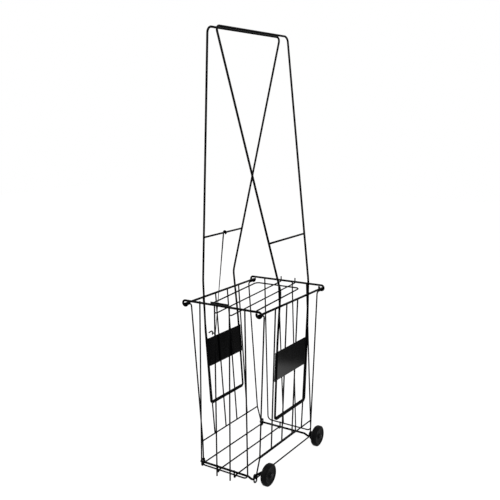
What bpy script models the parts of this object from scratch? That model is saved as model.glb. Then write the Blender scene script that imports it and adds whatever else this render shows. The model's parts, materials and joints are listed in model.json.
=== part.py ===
"""Tennis ball hopper: a wire basket on two wheels, with a hooked lid and two long handles that swing
down as legs. X runs across the basket towards the wheels, Y from front to rear, Z up. Sizes in metres.

Everything is placed in the basket's own frame, whose zero is the middle of the basket at the height of
its bottom edge wires. One empty then leans the whole hopper onto its wheels and its two left eyes."""

import math

import bmesh
import bpy
from mathutils import Matrix, Vector

MM = 0.001

# Wire stock and running gaps
HEAVY_WIRE = 5.6 * MM
THIN_WIRE = 3.6 * MM
CROSSBAR_WIRE = 4.8 * MM
GAP = 0.3 * MM
WELD = 0.5 * MM

# Basket
SIDE_RIM_HEIGHT = 468.6 * MM
RIM_HALF_WIDTH = 120.9 * MM
BASE_BAR_HALF_SPACING = 154.0 * MM
RIM_HALF_LENGTH = BASE_BAR_HALF_SPACING + 12.4 * MM
RIM_BAR_END = 3.5 * MM
CURL_RADIUS = 7.5 * MM
CURL_SWEEP = 290
BOTTOM_HALF_WIDTH = 87.4 * MM
WAIST_HALF_WIDTH = 97.6 * MM
WAIST_HEIGHT = 59.5 * MM
CORNER_HALF_LENGTH = BASE_BAR_HALF_SPACING - 12.8 * MM
CORNER_TOP_REACH = 19 * MM
CORNER_TOP_BEND = 8 * MM
UPRIGHTS_AT_RIM = (29.0 * MM, 87.1 * MM)
UPRIGHTS_AT_WAIST = (28.2 * MM, 83.2 * MM)

# Eyes in the bottom corners of the side grids
EYE_BEND = 5.2 * MM
EYE_STRAIGHT = 11.0 * MM

# End grids
END_GRID_TOP = 2.3 * MM
END_GRID_FOOT = BASE_BAR_HALF_SPACING + 19.5 * MM
END_GRID_FOOT_HEIGHT = 7.7 * MM
END_GRID_BEND = 13 * MM
OUTER_WIRES_AT_RIM = 73.9 * MM
OUTER_WIRES_AT_FOOT = 78.8 * MM
INNER_WIRES_AT_RIM = 24.4 * MM
INNER_WIRES_AT_FOOT = 22.5 * MM
FOOT_LIFT = 0.6 * MM

# Base bars, their stub axles and the base wires
BASE_BAR_HEIGHT = 3.4 * MM
BASE_BAR_PAST_EYE = 5.5 * MM
DIP = 5.0 * MM
DIP_TO_EYE = 11.0 * MM
HUMP = 16.0 * MM
HUMP_PAST_EYE = 14.0 * MM
STUB_START_PAST_EYE = 30.0 * MM
STUB_RISE = 13.0 * MM
STUB_INSET = 17.0 * MM
BASE_WIRE_SPACING = 56.6 * MM
HOOK_REACH = 11.5 * MM
HOOK_DROP = 4.3 * MM
HOOK_RISE = 16.0 * MM

# Wheels
WHEEL_RADIUS = 31.0 * MM
WHEEL_WIDTH = 13.0 * MM
TREAD_WIDTH = 4.0 * MM
HUB_RADIUS = 9.0 * MM
WHEEL_CLEAR_OF_STUB_BEND = 1.0 * MM
CAP_RADIUS = 6.0 * MM
CAP_WALL = 1.5 * MM
STUB_PAST_WHEEL = 2.2 * MM

# Handles, which hinge in tubes on the side grids
HINGE_HEIGHT = 151.0 * MM
HINGE_TUBE_RADIUS = 4.7 * MM
HINGE_TUBE_HALF_LENGTH = 74.0 * MM
HANDLE_PIN_LENGTH = 40.0 * MM
LEG_HALF_SPACING = 81.0 * MM
LEG_FOOT_BEND = 6.0 * MM
LEG_STRAIGHT_TO = 370.0 * MM
LEG_BEND_HEIGHT = 513.3 * MM
LEG_BEND_HALF_SPACING = 74.3 * MM
LEG_BEND_RADIUS = 60.0 * MM
HANDLE_TOP_HEIGHT = 1188.2 * MM
HANDLE_TOP_HALF_LENGTH = 168.9 * MM
HANDLE_TOP_OFFSET = 12.6 * MM
HANDLE_TOP_BEND = 13.0 * MM
CROSSBAR_HEIGHT = 642.0 * MM

# Latch plates with a channel for each leg
PLATE_SHEET = 1.0 * MM
PLATE_BOTTOM = 261.5 * MM
PLATE_TOP = 344.3 * MM
CHANNEL_DEPTH = 4.0 * MM
BEAD_WIDTH = 3.6 * MM
BEAD_HEIGHT = 2.2 * MM

# Tie rod
TIE_ROD_LENGTH = 314.0 * MM
TIE_ROD_HOOK_SWEEP = 240
TIE_ROD_BIGHT = 5.5 * MM
TIE_ROD_RETURN = 13.0 * MM
TIE_ROD_TIP_OUT = 13.0 * MM
TIE_ROD_SLOPE = 0.07
TIE_ROD_ASIDE = 6.0 * MM

# Lid
LID_FRONT_HEIGHT = 454.0 * MM
LID_TAIL = 10.5 * MM
LID_TOE = 7.0 * MM
LID_TOE_BEND = 3.0 * MM
LID_HALF_WIDTH = 75.0 * MM
LID_FRAME_FRONT = -108.5 * MM
LID_FRAME_REAR = 118.0 * MM
LID_FRAME_BEND = 12.0 * MM
STRIP_LENGTH = 61.0 * MM
STRIP_HEIGHT = 8.0 * MM
STRIP_SHEET = 1.6 * MM
STRIP_PAST_SIDE = 2.5 * MM

# How finely curves are divided
ARC_STEP = math.radians(30)
HEAVY_SIDES = 3
THIN_SIDES = 2
TURNED_STEPS = 36

# Worked out from the sizes above
HEAVY = HEAVY_WIRE / 2
THIN = THIN_WIRE / 2
END_RIM_HEIGHT = SIDE_RIM_HEIGHT - GAP + CURL_RADIUS * 2 - HEAVY * 2
END_GRID_RIM_Y = RIM_HALF_LENGTH - HEAVY - THIN - GAP
INNER_WIRE_FOOT_Y = END_GRID_FOOT + THIN_WIRE - WELD
EYE_PITCH = THIN_WIRE + GAP
EYE_BOTTOM = BASE_BAR_HEIGHT - EYE_STRAIGHT / 2 - EYE_BEND - THIN
STUB_HEIGHT = BASE_BAR_HEIGHT + STUB_RISE
STUB_START = BOTTOM_HALF_WIDTH + STUB_START_PAST_EYE
WHEEL_INNER = STUB_START + WHEEL_CLEAR_OF_STUB_BEND
WHEEL_X = WHEEL_INNER + WHEEL_WIDTH / 2
WHEEL_Y = BASE_BAR_HALF_SPACING - STUB_INSET
STUB_END = WHEEL_INNER + WHEEL_WIDTH + STUB_PAST_WHEEL
HINGE_OFFSET = THIN + GAP + HINGE_TUBE_RADIUS
LEG_RIM_OFFSET = HEAVY * 2 + GAP


def panel_x(height):
    """Distance of a side grid's plane from the middle of the basket, at a height above the waist."""
    rise = (height - WAIST_HEIGHT) / (SIDE_RIM_HEIGHT - WAIST_HEIGHT)
    return WAIST_HALF_WIDTH + rise * (RIM_HALF_WIDTH - WAIST_HALF_WIDTH)


HINGE_X = panel_x(HINGE_HEIGHT) + HINGE_OFFSET
LEG_SLOPE = (RIM_HALF_WIDTH + LEG_RIM_OFFSET - HINGE_X) / (SIDE_RIM_HEIGHT - HINGE_HEIGHT)
LEG_BEND_X = HINGE_X + LEG_SLOPE * (LEG_BEND_HEIGHT - HINGE_HEIGHT)
CROSSBAR_SHARE = (CROSSBAR_HEIGHT - LEG_BEND_HEIGHT) / (HANDLE_TOP_HEIGHT - LEG_BEND_HEIGHT)
CROSSBAR_X = LEG_BEND_X + CROSSBAR_SHARE * (HANDLE_TOP_OFFSET - LEG_BEND_X)
CROSSBAR_LEG_Y = LEG_BEND_HALF_SPACING + CROSSBAR_SHARE * (HANDLE_TOP_HALF_LENGTH - LEG_BEND_HALF_SPACING)
LEAN = math.atan2(EYE_BOTTOM - (STUB_HEIGHT - WHEEL_RADIUS),
                  WHEEL_X - TREAD_WIDTH / 2 + BOTTOM_HALF_WIDTH + EYE_PITCH * 0.75)


# Scene, materials and objects

def clear_scene():
    for old in list(bpy.data.objects):
        bpy.data.objects.remove(old, do_unlink=True)


def new_collection(name):
    collection = bpy.data.collections.new(name)
    bpy.context.scene.collection.children.link(collection)
    return collection


def new_material(name, colour, roughness, metallic):
    material = bpy.data.materials.new(name)
    material.use_nodes = True
    shader = material.node_tree.nodes["Principled BSDF"]
    shader.inputs["Base Color"].default_value = (*colour, 1)
    shader.inputs["Roughness"].default_value = roughness
    shader.inputs["Metallic"].default_value = metallic
    material.diffuse_color = (*colour, 1)
    return material


clear_scene()
PARTS = new_collection("tennis_ball_hopper")
PAINTED_WIRE = new_material("black_painted_wire", (0.012, 0.012, 0.013), 0.35, 0.0)
PAINTED_SHEET = new_material("black_painted_sheet", (0.015, 0.015, 0.016), 0.25, 0.0)
WHEEL_PLASTIC = new_material("black_wheel_plastic", (0.01, 0.01, 0.011), 0.3, 0.0)
CAP_STEEL = new_material("blackened_cap_steel", (0.03, 0.03, 0.032), 0.35, 0.8)


def new_empty(name, place, parent=None):
    empty = bpy.data.objects.new(name, None)
    empty.empty_display_size = 20 * MM
    empty.parent = parent
    empty.location = place
    PARTS.objects.link(empty)
    return empty


def finish_object(name, mesh, material, parent, origin):
    """An object whose mesh was drawn in the basket's frame, with its own origin moved to a pivot."""
    mesh.name = name
    mesh.transform(Matrix.Translation(-Vector(origin)))
    mesh.materials.clear()
    mesh.materials.append(material)
    mesh.shade_smooth()
    mesh.set_sharp_from_angle(angle=math.radians(40))
    part = bpy.data.objects.new(name, mesh)
    part.parent = parent
    PARTS.objects.link(part)
    return part


# Paths

def rounded(points, radius):
    """The points with every inner corner replaced by an arc of this radius."""
    points = [Vector(point) for point in points]
    path = [points[0]]
    for before, corner, after in zip(points, points[1:], points[2:]):
        back = (before - corner).normalized()
        ahead = (after - corner).normalized()
        half = back.angle(ahead) / 2
        room = 0.49 * min((before - corner).length, (after - corner).length)
        reach = min(radius / math.tan(half), room)
        bend = reach * math.tan(half)
        middle = corner + (back + ahead).normalized() * (bend / math.sin(half))
        first = corner + back * reach - middle
        turn = math.pi - 2 * half
        steps = max(1, math.ceil(turn / ARC_STEP))
        axis = back.cross(ahead).normalized()
        for step in range(steps + 1):
            path.append(middle + Matrix.Rotation(-turn * step / steps, 3, axis) @ first)
    path.append(points[-1])
    return path


def arc(middle, radius, start, sweep, across, up):
    """Points on an arc: start and sweep in degrees, from the across direction towards up."""
    steps = max(2, math.ceil(abs(math.radians(sweep)) / ARC_STEP))
    angles = [math.radians(start + sweep * step / steps) for step in range(steps + 1)]
    return [Vector(middle) + radius * (math.cos(a) * Vector(across) + math.sin(a) * Vector(up)) for a in angles]


def mirrored(points, axis):
    flip = Vector([-1 if index == axis else 1 for index in range(3)])
    return [Vector(point) * flip for point in points]


# Wires

def wire_mesh(points, diameter, sides):
    """A round wire along the points: a bevelled curve with filled caps, made a mesh and welded."""
    curve = bpy.data.curves.new("wire", "CURVE")
    curve.dimensions = "3D"
    curve.bevel_depth = diameter / 2
    curve.bevel_resolution = sides
    curve.use_fill_caps = True
    spline = curve.splines.new("POLY")
    spline.points.add(len(points) - 1)
    for knot, place in zip(spline.points, points):
        knot.co = (*place, 1)
    drawn = bpy.data.objects.new("wire", curve)
    PARTS.objects.link(drawn)
    graph = bpy.context.evaluated_depsgraph_get()
    mesh = bpy.data.meshes.new_from_object(drawn.evaluated_get(graph))
    bpy.data.objects.remove(drawn)
    bpy.data.curves.remove(curve)
    shape = bmesh.new()
    shape.from_mesh(mesh)
    bmesh.ops.remove_doubles(shape, verts=shape.verts, dist=0.001 * MM)
    bmesh.ops.recalc_face_normals(shape, faces=shape.faces)
    shape.to_mesh(mesh)
    shape.free()
    return mesh


def wire(name, points, diameter, parent, origin=(0, 0, 0)):
    sides = HEAVY_SIDES if diameter > THIN_WIRE else THIN_SIDES
    return finish_object(name, wire_mesh(points, diameter, sides), PAINTED_WIRE, parent, origin)


def welded_wires(name, paths, diameter, parent):
    """Several wires welded into one grid."""
    pieces = []
    for points in paths:
        piece = bpy.data.objects.new("wire", wire_mesh(points, diameter, THIN_SIDES))
        PARTS.objects.link(piece)
        pieces.append(piece)
    for other in pieces[1:]:
        weld = pieces[0].modifiers.new("weld", "BOOLEAN")
        weld.operation = "UNION"
        weld.object = other
    graph = bpy.context.evaluated_depsgraph_get()
    mesh = bpy.data.meshes.new_from_object(pieces[0].evaluated_get(graph))
    for piece in pieces:
        bpy.data.objects.remove(piece)
    return finish_object(name, mesh, PAINTED_WIRE, parent, (0, 0, 0))


def turned(name, profile, material, parent, place, turn):
    """A turned piece: its closed profile, in radius and height, swept round its own Z axis."""
    mesh = bpy.data.meshes.new(name)
    count = len(profile)
    edges = [(index, (index + 1) % count) for index in range(count)]
    mesh.from_pydata([(radius, 0, height) for radius, height in profile], edges, [])
    mesh.materials.append(material)
    part = bpy.data.objects.new(name, mesh)
    part.parent = parent
    part.location = place
    part.rotation_euler = turn
    PARTS.objects.link(part)
    sweep = part.modifiers.new("sweep", "SCREW")
    sweep.axis = "Z"
    sweep.steps = TURNED_STEPS
    sweep.render_steps = TURNED_STEPS
    sweep.use_merge_vertices = True
    sweep.merge_threshold = 0.01 * MM
    sweep.use_smooth_shade = True
    return part


# Basket

def make_rim(hopper):
    side_end = RIM_HALF_LENGTH + HEAVY + RIM_BAR_END
    for name, side in (("left", -1), ("right", 1)):
        x = side * RIM_HALF_WIDTH
        ends = [(x, -side_end, SIDE_RIM_HEIGHT), (x, side_end, SIDE_RIM_HEIGHT)]
        wire("rim_bar_" + name, ends, HEAVY_WIRE, hopper)
    for name, end in (("front", -1), ("rear", 1)):
        middle = (RIM_HALF_WIDTH, end * RIM_HALF_LENGTH, END_RIM_HEIGHT - CURL_RADIUS)
        right_curl = arc(middle, CURL_RADIUS, 90, -CURL_SWEEP, (1, 0, 0), (0, 0, 1))
        wire("rim_bar_" + name, mirrored(right_curl, 0)[::-1] + right_curl, HEAVY_WIRE, hopper)


def eye_path():
    """One turn round the front base bar, starting and ending halfway up on the basket's side of it,
    and moving in by one wire and a gap, so that the wire passes itself side by side."""
    half = EYE_STRAIGHT / 2
    low = arc((0, 0, -half), EYE_BEND, 0, -180, (0, 1, 0), (0, 0, 1))
    high = arc((0, 0, half), EYE_BEND, 180, -180, (0, 1, 0), (0, 0, 1))
    turn = [Vector((0, EYE_BEND, 0)), *low, *high, Vector((0, EYE_BEND, 0))]
    lengths = [0.0]
    for start, end in zip(turn, turn[1:]):
        lengths.append(lengths[-1] + (end - start).length)
    middle = Vector((BOTTOM_HALF_WIDTH + EYE_PITCH, -BASE_BAR_HALF_SPACING, BASE_BAR_HEIGHT))
    return [middle + point - Vector((EYE_PITCH * length / lengths[-1], 0, 0))
            for point, length in zip(turn, lengths)]


def edge_wire_path():
    """The right side's outer wire from the middle of the bottom edge to its front top end."""
    eye = eye_path()
    under_rim = SIDE_RIM_HEIGHT - HEAVY - GAP - THIN
    bottom = rounded([(BOTTOM_HALF_WIDTH, 0, 0), (BOTTOM_HALF_WIDTH, eye[-1].y, 0), eye[-1]], EYE_BEND)
    rise = [eye[0] + Vector((0, 0, EYE_STRAIGHT / 2 + EYE_BEND)),
            (WAIST_HALF_WIDTH, -CORNER_HALF_LENGTH, WAIST_HEIGHT),
            (panel_x(under_rim), -CORNER_HALF_LENGTH, under_rim),
            (panel_x(under_rim), -CORNER_HALF_LENGTH - CORNER_TOP_REACH, under_rim)]
    return bottom[:-1] + eye[::-1] + rounded(rise, CORNER_TOP_BEND)


def make_side_grids(hopper):
    half = edge_wire_path()
    edge = mirrored(half[:0:-1], 1) + half
    waist_end = CORNER_HALF_LENGTH
    paths = [edge, [(WAIST_HALF_WIDTH, -waist_end, WAIST_HEIGHT), (WAIST_HALF_WIDTH, waist_end, WAIST_HEIGHT)]]
    top = SIDE_RIM_HEIGHT - HEAVY - GAP
    for at_rim, at_waist in zip(UPRIGHTS_AT_RIM, UPRIGHTS_AT_WAIST):
        for end in (-1, 1):
            paths.append([(WAIST_HALF_WIDTH, end * at_waist, WAIST_HEIGHT), (panel_x(top), end * at_rim, top)])
    for name, flip in (("right", False), ("left", True)):
        drawn = [mirrored(path, 0) if flip else path for path in paths]
        welded_wires("side_grid_" + name, drawn, THIN_WIRE, hopper)


def floor_height(x):
    """Height of the floor under the leaning basket, in the basket's own frame."""
    return EYE_BOTTOM - (x + BOTTOM_HALF_WIDTH + EYE_PITCH * 0.75) * math.tan(LEAN)


def inner_wire(side, end, foot_height):
    """An inner upright of an end grid, run on in its own line down to the foot height."""
    top = Vector((side * INNER_WIRES_AT_RIM, end * END_GRID_RIM_Y, END_RIM_HEIGHT + END_GRID_TOP))
    at_foot_bar = Vector((side * INNER_WIRES_AT_FOOT, end * INNER_WIRE_FOOT_Y, END_GRID_FOOT_HEIGHT))
    share = (top.z - foot_height) / (top.z - at_foot_bar.z)
    return [top + (at_foot_bar - top) * share, top]


def make_end_grids(hopper):
    for name, end in (("front", -1), ("rear", 1)):
        top = END_RIM_HEIGHT + END_GRID_TOP
        foot = end * END_GRID_FOOT
        u_wire = [(-OUTER_WIRES_AT_RIM, end * END_GRID_RIM_Y, top),
                  (-OUTER_WIRES_AT_FOOT, foot, END_GRID_FOOT_HEIGHT),
                  (OUTER_WIRES_AT_FOOT, foot, END_GRID_FOOT_HEIGHT),
                  (OUTER_WIRES_AT_RIM, end * END_GRID_RIM_Y, top)]
        paths = [rounded(u_wire, END_GRID_BEND)]
        for side in (-1, 1):
            if end < 0:
                foot_height = floor_height(side * INNER_WIRES_AT_FOOT) + FOOT_LIFT
            else:
                foot_height = END_GRID_FOOT_HEIGHT
            paths.append(inner_wire(side, end, foot_height))
        welded_wires("end_grid_" + name, paths, THIN_WIRE, hopper)


# Base

def stub_path():
    """The right end of the front base bar: a dip, the climb through the eye, a hump, then the stub axle."""
    eye_x = BOTTOM_HALF_WIDTH + EYE_PITCH / 2
    y = -BASE_BAR_HALF_SPACING
    in_y = y + STUB_INSET
    shape = [(eye_x - 2 * DIP_TO_EYE, y, BASE_BAR_HEIGHT),
             (eye_x - DIP_TO_EYE, y, BASE_BAR_HEIGHT - DIP),
             (eye_x - DIP_TO_EYE / 2, y, BASE_BAR_HEIGHT - DIP * 0.8),
             (eye_x + HUMP_PAST_EYE / 2, y, BASE_BAR_HEIGHT + HUMP * 0.85),
             (eye_x + HUMP_PAST_EYE, in_y, BASE_BAR_HEIGHT + HUMP),
             (STUB_START - HEAVY, in_y, STUB_HEIGHT),
             (STUB_END, in_y, STUB_HEIGHT)]
    return rounded(shape, HEAVY * 2.2)


def make_base(hopper):
    left_end = (-BOTTOM_HALF_WIDTH - EYE_PITCH - BASE_BAR_PAST_EYE, -BASE_BAR_HALF_SPACING, BASE_BAR_HEIGHT)
    front = [Vector(left_end), *stub_path()]
    wire("base_bar_front", front, HEAVY_WIRE, hopper)
    wire("base_bar_rear", mirrored(front, 1), HEAVY_WIRE, hopper)
    height = BASE_BAR_HEIGHT - HEAVY - GAP - THIN
    under = BASE_BAR_HALF_SPACING + HEAVY
    tip = BASE_BAR_HALF_SPACING + HOOK_REACH
    for name, side in (("left", -1), ("right", 1)):
        x = side * BASE_WIRE_SPACING / 2
        half = [(x, 0, height), (x, under, height), (x, under + HOOK_DROP, height - HOOK_DROP),
                (x, tip, height - HOOK_DROP), (x, tip, height + HOOK_RISE)]
        hook = rounded(half, THIN_WIRE)
        wire("base_wire_" + name, mirrored(hook[:0:-1], 1) + hook[1:], THIN_WIRE, hopper)


def wheel_profile():
    """Half section of a moulded wheel, from the bore at the outer face round to the bore again."""
    half = WHEEL_WIDTH / 2
    bore = HEAVY + GAP
    rim = WHEEL_RADIUS - 8 * MM
    tread = TREAD_WIDTH / 2
    side = [(bore, half), (HUB_RADIUS - 1 * MM, half), (HUB_RADIUS, half - 1 * MM),
            (HUB_RADIUS + 2 * MM, half - 2.6 * MM), (rim - 3 * MM, half - 2.2 * MM), (rim, half - 0.8 * MM),
            (rim + 2 * MM, half - 1 * MM), (WHEEL_RADIUS - 2.6 * MM, tread + 1.8 * MM),
            (WHEEL_RADIUS - 0.8 * MM, tread + 0.7 * MM), (WHEEL_RADIUS, tread)]
    return side + [(radius, -height) for radius, height in side[::-1]]


def cap_profile():
    """A push-on cap: a domed end over a blind bore that holds the stub's end."""
    depth = STUB_PAST_WHEEL
    bore = HEAVY + GAP
    crown = depth + CAP_WALL
    return [(0, crown), (CAP_RADIUS * 0.55, crown - 0.3 * MM), (CAP_RADIUS * 0.9, depth + 0.2 * MM),
            (CAP_RADIUS, depth - 0.8 * MM), (CAP_RADIUS, GAP), (bore, GAP), (bore, depth + GAP), (0, depth + GAP)]


def make_wheels(hopper):
    turn = (0, math.pi / 2, 0)
    for name, end in (("front", -1), ("rear", 1)):
        place = (WHEEL_X, end * WHEEL_Y, STUB_HEIGHT)
        turned("wheel_" + name, wheel_profile(), WHEEL_PLASTIC, hopper, place, turn)
        outside = (WHEEL_X + WHEEL_WIDTH / 2, end * WHEEL_Y, STUB_HEIGHT)
        turned("axle_cap_" + name, cap_profile(), CAP_STEEL, hopper, outside, turn)


# Handles

def handle_path():
    """The right handle from the end of its front hinge pin round the top to the end of its rear one."""
    half = [(HINGE_X, HINGE_TUBE_HALF_LENGTH - HANDLE_PIN_LENGTH, HINGE_HEIGHT),
            (HINGE_X, LEG_HALF_SPACING, HINGE_HEIGHT),
            (HINGE_X + LEG_SLOPE * (LEG_STRAIGHT_TO - HINGE_HEIGHT), LEG_HALF_SPACING, LEG_STRAIGHT_TO),
            (LEG_BEND_X, LEG_BEND_HALF_SPACING, LEG_BEND_HEIGHT),
            (HANDLE_TOP_OFFSET, HANDLE_TOP_HALF_LENGTH, HANDLE_TOP_HEIGHT),
            (HANDLE_TOP_OFFSET, 0, HANDLE_TOP_HEIGHT)]
    foot = rounded(half[:3], LEG_FOOT_BEND)
    shank = rounded(half[1:5], LEG_BEND_RADIUS)
    top = rounded(half[3:], HANDLE_TOP_BEND)
    return foot[:-1] + shank[1:-1] + top[1:]


def plate_profile():
    """Half outline of the plate's sheet seen from above, from the middle out: across, outward.
    The leg lies in the channel between the pressed bead and the turned-out edge."""
    channel = LEG_HALF_SPACING
    half_channel = HEAVY + GAP + PLATE_SHEET / 2
    bead = channel - half_channel
    edge = channel + half_channel
    return [(0, 0), (bead - BEAD_WIDTH, 0), (bead - BEAD_WIDTH * 0.7, BEAD_HEIGHT),
            (bead - BEAD_WIDTH * 0.3, BEAD_HEIGHT), (bead, 0), (edge, 0), (edge, CHANNEL_DEPTH)]


def make_latch_plate(name, side, hopper):
    """Sheet bent to the profile: a ribbon curve that stands as high as the plate, given its thickness."""
    half = plate_profile()
    outline = [(-across, outward) for across, outward in half[:0:-1]] + half
    curve = bpy.data.curves.new(name, "CURVE")
    curve.dimensions = "2D"
    curve.fill_mode = "NONE"
    low = Vector((panel_x(PLATE_BOTTOM), 0, PLATE_BOTTOM))
    high = Vector((panel_x(PLATE_TOP), 0, PLATE_TOP))
    curve.extrude = (high - low).length / 2
    spline = curve.splines.new("POLY")
    spline.points.add(len(outline) - 1)
    for knot, (across, outward) in zip(spline.points, outline):
        knot.co = (across, outward, 0, 1)
    drawn = bpy.data.objects.new(name, curve)
    PARTS.objects.link(drawn)
    graph = bpy.context.evaluated_depsgraph_get()
    mesh = bpy.data.meshes.new_from_object(drawn.evaluated_get(graph))
    bpy.data.objects.remove(drawn)
    shape = bmesh.new()
    shape.from_mesh(mesh)
    bmesh.ops.remove_doubles(shape, verts=shape.verts, dist=0.001 * MM)
    shape.to_mesh(mesh)
    shape.free()
    up = (high - low).normalized()
    out = Vector((up.z, 0, -up.x))
    middle = (low + high) / 2 + out * (THIN + GAP + PLATE_SHEET / 2)
    axes = Matrix((Vector((0, 1, 0)), out, up)).transposed().to_4x4()
    mesh.transform(Matrix.Translation(middle) @ axes)
    if side < 0:
        mesh.transform(Matrix.Scale(-1, 4, (1, 0, 0)))
    plate = finish_object(name, mesh, PAINTED_SHEET, hopper, (0, 0, 0))
    sheet = plate.modifiers.new("sheet", "SOLIDIFY")
    sheet.thickness = PLATE_SHEET
    sheet.offset = 0
    sheet.use_even_offset = True
    sheet.use_quality_normals = True


def hinge_tube_profile():
    half = HINGE_TUBE_HALF_LENGTH
    bore = HEAVY + GAP
    return [(HINGE_TUBE_RADIUS, half), (HINGE_TUBE_RADIUS, -half), (bore, -half), (bore, half)]


def make_handles(hopper):
    points = handle_path()
    whole = mirrored(points, 1) + points[-2::-1]
    splay = (HANDLE_TOP_HALF_LENGTH - LEG_BEND_HALF_SPACING) / (HANDLE_TOP_HEIGHT - LEG_BEND_HEIGHT)
    crossbar_half = CROSSBAR_LEG_Y - HEAVY * math.hypot(1, splay) - CROSSBAR_WIRE / 2 * splay - GAP
    legs = {}
    for name, side in (("left", -1), ("right", 1)):
        pivot = (side * HINGE_X, 0, HINGE_HEIGHT)
        turned("hinge_tube_" + name, hinge_tube_profile(), PAINTED_WIRE, hopper, pivot, (math.pi / 2, 0, 0))
        make_latch_plate("latch_plate_" + name, side, hopper)
        axis = new_empty("handle_axis_" + name, pivot, hopper)
        loop = mirrored(whole, 0) if side < 0 else whole
        wire("handle_" + name, loop, HEAVY_WIRE, axis, pivot)
        x = side * CROSSBAR_X
        ends = [(x, -crossbar_half, CROSSBAR_HEIGHT), (x, crossbar_half, CROSSBAR_HEIGHT)]
        wire("crossbar_" + name, ends, CROSSBAR_WIRE, axis, pivot)
        legs[name] = axis
    return legs


def make_tie_rod(handle_axis):
    """A rod hooked over the left crossbar. It leans on the outside of the left top bar, and its lower end
    is bent back as a hook for the right crossbar, with the tip turned out."""
    pivot = Vector((-CROSSBAR_X, 0, CROSSBAR_HEIGHT))
    rim = Vector((-RIM_HALF_WIDTH, 0, SIDE_RIM_HEIGHT))
    hook_radius = CROSSBAR_WIRE / 2 + GAP + THIN
    off_rim = HEAVY + GAP + THIN
    lean_out = math.asin((off_rim - hook_radius) / (rim - pivot).length)
    down = (Matrix.Rotation(lean_out, 3, (0, 1, 0)) @ (rim - pivot)).normalized()
    out = Vector((down.z, 0, -down.x))
    hook = arc(pivot, hook_radius, 180 - TIE_ROD_HOOK_SWEEP, TIE_ROD_HOOK_SWEEP, -out, -down)
    low = TIE_ROD_LENGTH - TIE_ROD_BIGHT + THIN
    near = hook_radius
    far = hook_radius + 2 * TIE_ROD_BIGHT
    bight = arc(pivot + down * low + out * (near + TIE_ROD_BIGHT), TIE_ROD_BIGHT, 180, 180, out, down)
    back = [pivot + down * (low - TIE_ROD_RETURN) + out * far,
            pivot + down * (low - TIE_ROD_RETURN * 0.2) + out * (far + TIE_ROD_TIP_OUT)]
    path = hook + bight[:-1] + rounded([bight[-1], *back], THIN_WIRE)
    for point in path:
        point.y += TIE_ROD_ASIDE - max(0, (point - pivot).dot(down)) * TIE_ROD_SLOPE
    hinge = Vector((-HINGE_X, 0, HINGE_HEIGHT))
    rod_axis = new_empty("tie_rod_axis", pivot - hinge, handle_axis)
    wire("tie_rod", path, THIN_WIRE, rod_axis, pivot)


# Lid

def lid_wire_height(y):
    """Height of the two long lid wires, which run straight from the front to the underside of the rear bar."""
    start = lid_front_y()
    rise = END_RIM_HEIGHT - HEAVY - GAP - THIN - LID_FRONT_HEIGHT
    return LID_FRONT_HEIGHT + rise * (y - start) / (RIM_HALF_LENGTH - start)


def lid_front_y():
    """Where the toes of the long lid wires stop, just inside the front grid's inner wires."""
    top = END_RIM_HEIGHT + END_GRID_TOP
    share = (top - LID_FRONT_HEIGHT) / (top - END_GRID_FOOT_HEIGHT)
    grid_y = END_GRID_RIM_Y + share * (INNER_WIRE_FOOT_Y - END_GRID_RIM_Y)
    return -grid_y + THIN_WIRE + GAP


def make_lid(hopper):
    pivot = Vector((0, RIM_HALF_LENGTH, END_RIM_HEIGHT))
    axis = new_empty("lid_axis", pivot, hopper)
    hook_radius = HEAVY + GAP + THIN
    front = lid_front_y()
    beside = THIN_WIRE + GAP
    for name, side in (("left", -1), ("right", 1)):
        x = side * INNER_WIRES_AT_RIM + beside
        run = rounded([(x - LID_TOE, front, LID_FRONT_HEIGHT), (x, front, LID_FRONT_HEIGHT),
                       (x, pivot.y, pivot.z - hook_radius)], LID_TOE_BEND)
        hook = arc((x, pivot.y, pivot.z), hook_radius, -90, 90, (0, 1, 0), (0, 0, 1))
        tail = Vector((x, pivot.y + hook_radius, pivot.z + LID_TAIL))
        wire("lid_wire_" + name, run[:-1] + hook + [tail], THIN_WIRE, axis, pivot)
    lift = THIN_WIRE + GAP
    corners = [(-LID_HALF_WIDTH, LID_FRAME_FRONT), (-LID_HALF_WIDTH, LID_FRAME_REAR),
               (LID_HALF_WIDTH, LID_FRAME_REAR), (LID_HALF_WIDTH, LID_FRAME_FRONT)]
    frame = rounded([(x, y, lid_wire_height(y) + lift) for x, y in corners], LID_FRAME_BEND)
    wire("lid_frame", frame, THIN_WIRE, axis, pivot)
    left = -LID_HALF_WIDTH - STRIP_PAST_SIDE
    back = LID_FRAME_FRONT - GAP
    foot = lid_wire_height(back) + THIN + GAP
    box = bmesh.new()
    bmesh.ops.create_cube(box, size=1)
    bmesh.ops.scale(box, vec=(STRIP_LENGTH, STRIP_SHEET, STRIP_HEIGHT), verts=box.verts)
    middle = (left + STRIP_LENGTH / 2, back - STRIP_SHEET / 2, foot + STRIP_HEIGHT / 2)
    bmesh.ops.translate(box, vec=middle, verts=box.verts)
    mesh = bpy.data.meshes.new("lid_strip")
    box.to_mesh(mesh)
    box.free()
    strip = finish_object("lid_strip", mesh, PAINTED_SHEET, axis, pivot)
    corner = strip.modifiers.new("corners", "BEVEL")
    corner.width = STRIP_SHEET / 4
    corner.segments = 1


def stand_on_floor(hopper):
    """Leans the hopper onto its left eyes and its wheels, with the bottom centre of the whole at zero."""
    hopper.rotation_euler = (0, -LEAN, 0)
    bpy.context.view_layer.update()
    graph = bpy.context.evaluated_depsgraph_get()
    corners = []
    for part in PARTS.objects:
        if part.type != "MESH":
            continue
        solid = part.evaluated_get(graph)
        mesh = solid.to_mesh()
        corners.extend(solid.matrix_world @ vertex.co for vertex in mesh.vertices)
        solid.to_mesh_clear()
    low = Vector([min(corner[axis] for corner in corners) for axis in range(3)])
    high = Vector([max(corner[axis] for corner in corners) for axis in range(3)])
    hopper.location = (-(low.x + high.x) / 2, -(low.y + high.y) / 2, -low.z)


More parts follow.
